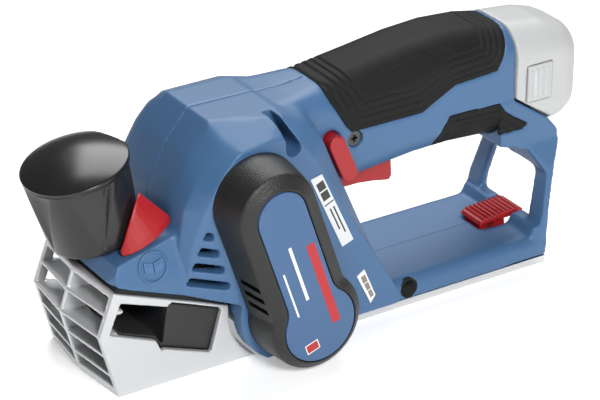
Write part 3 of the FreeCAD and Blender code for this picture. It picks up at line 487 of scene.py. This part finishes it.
def cut_grooves(obj, edge, first, pitch, count):
    """Cuts grooves side by side with an edge, in the faces that look outward.

    Returns how deep each vertex went, as a share of the full depth.
    """
    points, normals = points_of(obj), normals_of(obj)
    x, y, z = points.T
    distance = distance_to_path(x, z, edge)
    outward = np.stack([np.zeros_like(y), y, z - HANDLE_MIDDLE_Z], axis=1)
    outward /= np.linalg.norm(outward, axis=1, keepdims=True) + 1e-9
    facing = ease((outward * normals).sum(axis=1), 0.2, 0.6)
    share = np.zeros_like(x)
    for row in range(count):
        offset = distance - (first + pitch * row)
        share = np.maximum(share, np.exp(-(offset / GROOVE_HALF_WIDTH) ** 2))
    share *= facing
    set_points(obj, points - normals * (GROOVE_DEPTH * share)[:, None])
    return share


def paint_groove_shade(obj, share, material):
    """Paints shade into the floor of the grooves by giving it a darker material."""
    obj.data.materials.append(material)
    for polygon in obj.data.polygons:
        if share[list(polygon.vertices)].mean() > GROOVE_SHADE_FROM:
            polygon.material_index = 1


def make_grips():
    """The two soft grips, with grooves that follow their edges and painted shade on the groove floors."""
    for node, edge, first, pitch, count in GRIPS:
        grip = soft_copy(node, voxel=0.38, rounds=2)
        share = cut_grooves(grip, edge, first, pitch, count)
        finish_piece(grip, "body", MATERIALS["grip_rubber"])
        # painted shade: the groove floors get the near-black foam material
        paint_groove_shade(grip, share, MATERIALS["foam"])


# ---------------------------------------------------------------- belt cover
COVER_WAIST = 23.0          # from the middle line to the centres of the hollow bends
MOTOR_END_STEPS, BEND_STEPS, DRUM_END_STEPS = 33, 13, 65


def keyhole_ring(narrow, wide, y):
    """Points round the drum and motor axes: a capsule that swells to a larger circle."""
    blend = COVER_WAIST - narrow
    start = math.sqrt((wide + blend) ** 2 - (narrow + blend) ** 2)
    lean = math.atan2(narrow + blend, start)
    local = []
    for a in np.linspace(90, -90, MOTOR_END_STEPS):
        turn = math.radians(a)
        local.append((AXES_APART + narrow * math.cos(turn), narrow * math.sin(turn)))
    for a in np.linspace(0, 1, BEND_STEPS):
        turn = math.pi / 2 + a * (math.pi / 2 - lean)
        local.append((start + blend * math.cos(turn), -(narrow + blend) + blend * math.sin(turn)))
    for a in np.linspace(-lean, -(2 * math.pi - lean), DRUM_END_STEPS)[1:-1]:
        local.append((wide * math.cos(a), wide * math.sin(a)))
    for a in np.linspace(1, 0, BEND_STEPS):
        turn = math.pi / 2 + a * (math.pi / 2 - lean)
        local.append((start + blend * math.cos(turn), (narrow + blend) - blend * math.sin(turn)))
    points = [on_cover(along, across) for along, across in local]
    return [(x, y, z) for x, z in points]


def on_cover(along, across):
    """X and Z of a place on the cover: along from the drum to the motor axis, across to the front."""
    return (DRUM[0] + along * COVER_ALONG[0] + across * COVER_ACROSS[0],
            DRUM[2] + along * COVER_ALONG[1] + across * COVER_ACROSS[1])


# each row: radius round the motor axis, radius round the drum axis, rise over the side plate
COVER_OUTSIDE = [(20.3, 22.6, 0.15), (19.9, 22.4, 5.0), (19.1, 22.0, 11.0), (18.2, 21.5, 16.4),
                 (17.9, 21.3, 17.3), (17.5, 21.05, 17.75), (16.9, 20.7, 18.1), (15.2, 19.7, 18.95),
                 (13.6, 18.6, 19.8), (12.7, 17.9, 20.3), (12.2, 17.5, 20.45), (11.9, 17.3, 20.4),
                 (11.75, 17.15, 20.0), (11.75, 17.15, 19.4)]
COVER_INSIDE = [(9.5, 15.0, 18.2), (15.4, 19.0, 15.0), (18.0, 20.4, 0.15)]
PANEL_MOTOR_R, PANEL_DRUM_R, PANEL_RISE = 11.3, 16.7, 20.7
# each row: how far in from the panel's edge, rise over the side plate
PANEL_EDGE = [(0, 19.45), (0, 20.4), (0.15, 20.62), (0.45, PANEL_RISE)]
CREASE = 28                 # degrees, from which an edge of the cover or panel is crisp


LOUVRES = 3
LOUVRE_X, LOUVRE_Z = 92.0, 31.5             # lower rear corner of the lowest slot
LOUVRE_SHIFT_X, LOUVRE_SHIFT_Z = 1.6, 5.6   # from one slot to the next
LOUVRE_LONG, LOUVRE_SLANT, LOUVRE_TALL = 13.0, 1.4, 2.5
LOUVRE_FROM, LOUVRE_TO = 3.5, 16.0          # rise over the side plate


def louvre_cutter(row):
    """A slanted bar for one louvre slot in the low front wall of the cover."""
    x, z = LOUVRE_X + LOUVRE_SHIFT_X * row, LOUVRE_Z + LOUVRE_SHIFT_Z * row
    outline = [(x, z), (x + LOUVRE_LONG, z + LOUVRE_SLANT),
               (x + LOUVRE_LONG, z + LOUVRE_SLANT + LOUVRE_TALL), (x, z + LOUVRE_TALL)]
    return bar(f"louvre_cutter_{row}", outline, PLATE_FACE + LOUVRE_FROM, PLATE_FACE + LOUVRE_TO)


def carve(obj, cutters):
    """Takes the cutters' volume out of an object and removes the cutters."""
    for cutter in cutters:
        cut = obj.modifiers.new("carve", "BOOLEAN")
        cut.operation = "DIFFERENCE"
        cut.solver = "EXACT"
        cut.object = cutter
    bake(obj)
    for cutter in cutters:
        bpy.data.objects.remove(cutter)


def make_belt_cover():
    """The hollow cover over the belt, with its louvre slots."""
    profile = COVER_OUTSIDE + COVER_INSIDE
    rings = [keyhole_ring(narrow, wide, PLATE_FACE + rise) for narrow, wide, rise in profile]
    count, levels, face_ring = len(rings[0]), len(rings), len(COVER_OUTSIDE) - 1
    vertices = [point for ring in rings for point in ring]
    faces = [tuple(range(face_ring * count, (face_ring + 1) * count)),
             tuple(range((face_ring + 1) * count, (face_ring + 2) * count))]
    for level in range(levels):
        if level != face_ring:
            faces += join_rings(level * count, (level + 1) % levels * count, count)
    cover = new_object("belt_cover_look", vertices, faces)
    carve(cover, [louvre_cutter(row) for row in range(LOUVRES)])
    shade_by_angle(cover, CREASE)
    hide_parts("belt_cover")
    finish_piece(cover, "body", MATERIALS["cover_plastic"])


def make_cover_panel():
    """The inlay set in the middle of the belt cover."""
    rings = [keyhole_ring(PANEL_MOTOR_R - inset, PANEL_DRUM_R - inset, PLATE_FACE + rise)
             for inset, rise in PANEL_EDGE]
    count = len(rings[0])
    vertices = [point for ring in rings for point in ring]
    faces = [tuple(range(count)), tuple(range((len(rings) - 1) * count, len(rings) * count))]
    for level in range(len(rings) - 1):
        faces += join_rings(level * count, (level + 1) * count, count)
    panel = new_object("belt_cover_panel_look", vertices, faces)
    shade_by_angle(panel, CREASE)
    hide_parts("belt_cover_panel")
    finish_piece(panel, "body", MATERIALS["cover_inlay"])


# ---------------------------------------------------------------- printed bars
LABEL_CORNER, LABEL_LEAN = (44.6, 45.9), 66.0
GAUGE_CORNER, GAUGE_LEAN = (32.9, 15.7), 67.0
LABEL_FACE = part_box("side_label")[1].y / MM
GAUGE_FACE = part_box("charge_gauge")[1].y / MM
PANEL_FACE = PLATE_FACE + PANEL_RISE
INK_LIFT, INK_ROOT = 0.05, 0.1
SECOND_LAYER = 0.04             # a bar printed over another one


def from_corner(corner, lean, along, across):
    """X and Z of a place on a leaning label: along its long side and across towards the front."""
    a = math.radians(lean)
    return (corner[0] + along * math.cos(a) + across * math.sin(a),
            corner[1] + along * math.sin(a) - across * math.cos(a))


def on_label(along, across):
    return from_corner(LABEL_CORNER, LABEL_LEAN, along, across)


def on_gauge(along, across):
    return from_corner(GAUGE_CORNER, GAUGE_LEAN, along, across)


# name, place function, along from and to, across from and to, face, slot
PRINTED_BARS = [
    ("stripe_red", on_cover, -3, 39, -9.3, -5.3, PANEL_FACE, "red_plastic"),
    ("stripe_white", on_cover, 15, 43, 1.0, 2.4, PANEL_FACE, "gauge"),
    ("stripe_thin", on_cover, 10, 33, 7.6, 8.4, PANEL_FACE, "gauge"),
    ("block_border", on_cover, -9.9, -5.3, 3.5, 9.9, PANEL_FACE, "gauge"),
    ("block_red", on_cover, -9.5, -5.7, 3.9, 9.5, PANEL_FACE + SECOND_LAYER, "red_plastic"),
    ("label_block_1", on_label, 31.2, 35.6, 1.2, 4.9, LABEL_FACE, "black_plastic"),
    ("label_block_2", on_label, 26.0, 30.4, 1.2, 4.9, LABEL_FACE, "black_plastic"),
    ("label_line", on_label, 23.4, 24.0, 0.5, 5.4, LABEL_FACE, "black_plastic"),
    ("label_row_1", on_label, 6.0, 21.0, 1.5, 2.2, LABEL_FACE, "black_plastic"),
    ("label_row_2", on_label, 9.0, 21.0, 3.3, 4.0, LABEL_FACE, "black_plastic"),
    ("gauge_step_1", on_gauge, 0.4, 4.2, 0.7, 2.6, GAUGE_FACE, "label_silver"),
    ("gauge_step_2", on_gauge, 4.7, 8.5, 0.7, 2.8, GAUGE_FACE, "label_silver"),
    ("gauge_step_3", on_gauge, 9.0, 12.8, 0.7, 3.0, GAUGE_FACE, "label_silver"),
]


def make_printed_bars():
    """Plain bars in place of all print on the cover, the label and the gauge."""
    for name, place, a0, a1, c0, c1, face, slot in PRINTED_BARS:
        outline = [place(a0, c0), place(a1, c0), place(a1, c1), place(a0, c1)]
        printed = bar(name, outline, face - INK_ROOT, face + INK_LIFT)
        ink = GAUGE_INK if name.startswith("gauge") else MATERIALS[slot]
        finish_piece(printed, "body", ink)


# ---------------------------------------------------------------- depth knob
FLUTES = 5
FLUTE_AT = 77.0                 # degrees, of the first flute's middle
FLUTE_HALF_ANGLE = 27.0         # degrees, at its wide upper end
# shares of the knob's height: a flute's lower tip, the run in which it widens, the height at
# which it has its full depth, its upper end and the run of its upper wall
FLUTE_TIP, FLUTE_WIDENS, FLUTE_DEEPENS, FLUTE_TOP, FLUTE_TOP_WALL = 0.06, 0.86, 0.75, 0.925, 0.015
FLUTE_SIDE_WALL = 1.4           # degrees, taken up by its steep side
FLUTE_SCOOP, FLUTE_SLANT = 1.6, 3.4         # depth of the round scoop and of the slant across it
FLAT_AT, FLAT_REACH, FLAT_FROM = 195.0, 20.6, 0.6       # degrees, radius, share of the height
KNOB_FOOT, KNOB_TALL = 2.3, 35.0
KNOB_FOOT_R, KNOB_SPREAD = 19.0, 3.75
KNOB_TOP_R, KNOB_CROWN = 22.2, 4.2
KNOB_STEPS = 360                # one point for each degree
CROWN_STEPS, CROWN_FULLNESS = 24, 2.3
# each row: radius, share of the knob's height
KNOB_LIP = [(22.3, 0.945), (22.2, 0.952), (22.35, 0.958), (22.6, 0.965), (22.7, 0.975),
            (22.7, 0.988), (22.55, 0.997), (KNOB_TOP_R, 1.003)]
KNOB_INSIDE = [(16.0, 0.0), (16.0, 0.85), (5.0, 0.93)]
FOOT_ROUNDING = {0.0: 0.8, 0.01: 0.25}      # share of the height: how much smaller the radius is


def knob_height(share):
    return KNOB_FOOT + KNOB_TALL * share


def knob_point(radius, height, angle):
    a = math.radians(angle)
    forward = KNOB_FORWARD * (radius * math.cos(a))
    return KNOB_BASE + KNOB_AXIS * height + forward + np.array([0, radius * math.sin(a), 0])


def flute_depth(share, angle):
    """How deep the scooped flutes are, at a share of the knob's height and an angle."""
    offset = (angle - FLUTE_AT + 180 / FLUTES) % (360 / FLUTES) - 180 / FLUTES
    half = FLUTE_HALF_ANGLE * max(0.0, (share - FLUTE_TIP) / FLUTE_WIDENS)
    if share > FLUTE_TOP or abs(offset) > half or half < 1:
        return 0.0
    across = (offset + half) / (2 * half)
    scoop = FLUTE_SCOOP * math.sin(math.pi * across) + FLUTE_SLANT * across
    side_edge = min(1.0, (1 - across) * 2 * half / FLUTE_SIDE_WALL)
    top_edge = min(1.0, (FLUTE_TOP - share) / FLUTE_TOP_WALL)
    return scoop * min(1.0, share / FLUTE_DEEPENS) * side_edge * top_edge


def flat_side(height, angle):
    """The largest radius at an angle, which leaves a small flat at the rim next to the body."""
    toward = math.cos(math.radians(angle - FLAT_AT))
    if toward < 0.5 or height < knob_height(FLAT_FROM):
        return math.inf
    return FLAT_REACH / toward


def knob_side_rows():
    """Rows of (radius, height) up the fluted side, one pair for each degree."""
    shares = [0.0, 0.01, 0.03] + [0.03 + 0.875 * k / 40 for k in range(1, 41)] \
        + [0.91, 0.916, 0.922, 0.928, 0.934]
    rows = []
    for share in shares:
        radius = KNOB_FOOT_R + KNOB_SPREAD * share - FOOT_ROUNDING.get(share, 0.0)
        rows.append([(radius - flute_depth(share, a), knob_height(share)) for a in range(KNOB_STEPS)])
    return rows


def knob_top_rows():
    """Rows of (radius, height) over the lip and the crowned top."""
    rows = [[(radius, knob_height(share))] * KNOB_STEPS for radius, share in KNOB_LIP]
    rim = rows[-1][0][1]
    for k in range(1, CROWN_STEPS):
        radius = KNOB_TOP_R * (1 - k / CROWN_STEPS)
        crown = KNOB_CROWN * (1 - (radius / KNOB_TOP_R) ** CROWN_FULLNESS)
        rows.append([(radius, rim + crown)] * KNOB_STEPS)
    return rows


def make_knob():
    """The fluted knob, with a crowned top and a hollow underside."""
    rows = knob_side_rows() + knob_top_rows()
    vertices = [knob_point(min(radius, flat_side(height, a)), height, a)
                for row in rows for a, (radius, height) in enumerate(row)]
    tip = len(vertices)
    vertices.append(knob_point(0, knob_height(KNOB_LIP[-1][1]) + KNOB_CROWN, 0))
    inside = len(vertices)
    for radius, share in KNOB_INSIDE:
        vertices += [knob_point(radius, knob_height(share), a) for a in range(KNOB_STEPS)]

    faces = []
    for level in range(len(rows) - 1):
        faces += join_rings(level * KNOB_STEPS, (level + 1) * KNOB_STEPS, KNOB_STEPS)
    last = tip - KNOB_STEPS
    faces += [(last + i, last + (i + 1) % KNOB_STEPS, tip) for i in range(KNOB_STEPS)]
    faces += join_rings(0, inside, KNOB_STEPS)
    for level in range(len(KNOB_INSIDE) - 1):
        low = inside + level * KNOB_STEPS
        faces += join_rings(low, low + KNOB_STEPS, KNOB_STEPS)
    ceiling = inside + (len(KNOB_INSIDE) - 1) * KNOB_STEPS
    faces.append(tuple(range(ceiling, ceiling + KNOB_STEPS)))
    knob = new_object("depth_knob_look", vertices, faces)
    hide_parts("depth_knob")
    finish_piece(knob, "depth_control", MATERIALS["knob_plastic"])


# ---------------------------------------------------------------- other softened parts
# node, body, slot, spacing of the faces, rounds of smoothing
SOFT_PARTS = [
    ("front_shoe", "shoe", "cast_alloy", 0.5, 2),
    ("chip_chute", "shoe", "black_plastic", 0.45, 3),
    ("chip_deflector", "deflector", "black_plastic", 0.4, 2),
    ("chip_lever", "chip_selector", "red_plastic", 0.4, 6),
    ("trigger", "trigger_body", "red_plastic", 0.4, 5),
    ("lock_button", "lock_body", "red_plastic", 0.4, 5),
    ("parking_lever", "parking_rest", "red_plastic", 0.35, 2),
    ("battery_case", "battery", "pack_plastic", 0.7, 4),
    ("battery_clip_left", "clip_left", "pack_plastic", 0.35, 2),
    ("battery_clip_right", "clip_right", "pack_plastic", 0.35, 2),
]


def make_soft_parts():
    """Moulded and cast parts with their edges rounded over."""
    for node, body, slot, voxel, rounds in SOFT_PARTS:
        finish_piece(soft_copy(node, voxel, rounds), body, MATERIALS[slot])


def make_gasket():
    """The foam gasket, softened, on the body, with a mesh of its own."""
    gasket = soft_copy("seal_strip", voxel=0.35, rounds=1)
    finish_piece(gasket, "body", MATERIALS["foam"])
    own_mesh(gasket)


# ---------------------------------------------------------------- studio
FLOOR_HALF, FLOOR_TOP = 4000, -0.02
AMBIENT = 0.13
FLOOR_GLOW = 0.32
# name, place, target, side of the square and watts
LIGHTS = [
    ("key", (0.26, 0.88, 0.72), (0.04, 0, 0.05), 0.35, 11.5),
    ("side", (0.60, 0.65, 0.20), (0.10, 0, 0.07), 0.2, 0.5),
    ("back", (-0.35, -0.55, 1.0), (0.04, 0, 0.05), 0.9, 14),
]


def make_floor():
    """A wide pale floor, just under the soles, with a little light of its own."""
    corners = [(x, y, FLOOR_TOP) for x, y in ((-FLOOR_HALF, -FLOOR_HALF), (FLOOR_HALF, -FLOOR_HALF),
                                              (FLOOR_HALF, FLOOR_HALF), (-FLOOR_HALF, FLOOR_HALF))]
    floor = new_object("floor", corners, [(0, 1, 2, 3)], smooth=False)
    pale = finish_material("floor", (0.90, 0.90, 0.90), 0.7, mottle=0.01)
    shader = pale.node_tree.nodes["Principled BSDF"]
    shader.inputs["Emission Color"].default_value = (1, 1, 1, 1)
    shader.inputs["Emission Strength"].default_value = FLOOR_GLOW
    floor.data.materials.append(pale)


def area_light(name, place, target, size, power):
    light = bpy.data.lights.new(name, "AREA")
    light.shape = "SQUARE"
    light.size = size
    light.energy = power
    obj = bpy.data.objects.new(name, light)
    obj.location = place
    toward = Vector(target) - Vector(place)
    obj.rotation_euler = toward.to_track_quat("-Z", "Y").to_euler()
    bpy.context.scene.collection.objects.link(obj)


def make_studio():
    """A pale floor, even light from the world and three soft lamps."""
    make_floor()
    world = bpy.data.worlds.new("studio")
    world.use_nodes = True
    background = world.node_tree.nodes["Background"]
    background.inputs["Color"].default_value = (1, 1, 1, 1)
    background.inputs["Strength"].default_value = AMBIENT
    bpy.context.scene.world = world
    bpy.context.scene.view_settings.view_transform = "Standard"
    for light in LIGHTS:
        area_light(*light)


CAMERA_PLACE = Vector((0.602, 0.861, 0.577))
CAMERA_LOOK = Vector((-0.481, -0.747, -0.458))
CAMERA_RIGHT = Vector((-0.842, 0.540, 0.003))
CAMERA_LENS, CAMERA_SENSOR = 161.3, 36          # millimetres


def make_camera():
    """A long lens that looks down on the planer from its front left."""
    camera = bpy.data.cameras.new("camera")
    camera.sensor_width = CAMERA_SENSOR
    camera.lens = CAMERA_LENS
    obj = bpy.data.objects.new("camera", camera)
    back = -CAMERA_LOOK.normalized()
    up = back.cross(CAMERA_RIGHT).normalized()
    right = up.cross(back)
    turn = Matrix((right, up, back)).transposed().to_4x4()
    obj.matrix_world = Matrix.Translation(CAMERA_PLACE) @ turn
    bpy.context.scene.collection.objects.link(obj)
    bpy.context.scene.camera = obj


dress_cad_nodes()
make_housing()
make_fence_socket_shade()
make_vent_shade()
make_sign()
make_grips()
make_belt_cover()
make_cover_panel()
make_printed_bars()
make_knob()
make_soft_parts()
make_gasket()
make_studio()
make_camera()
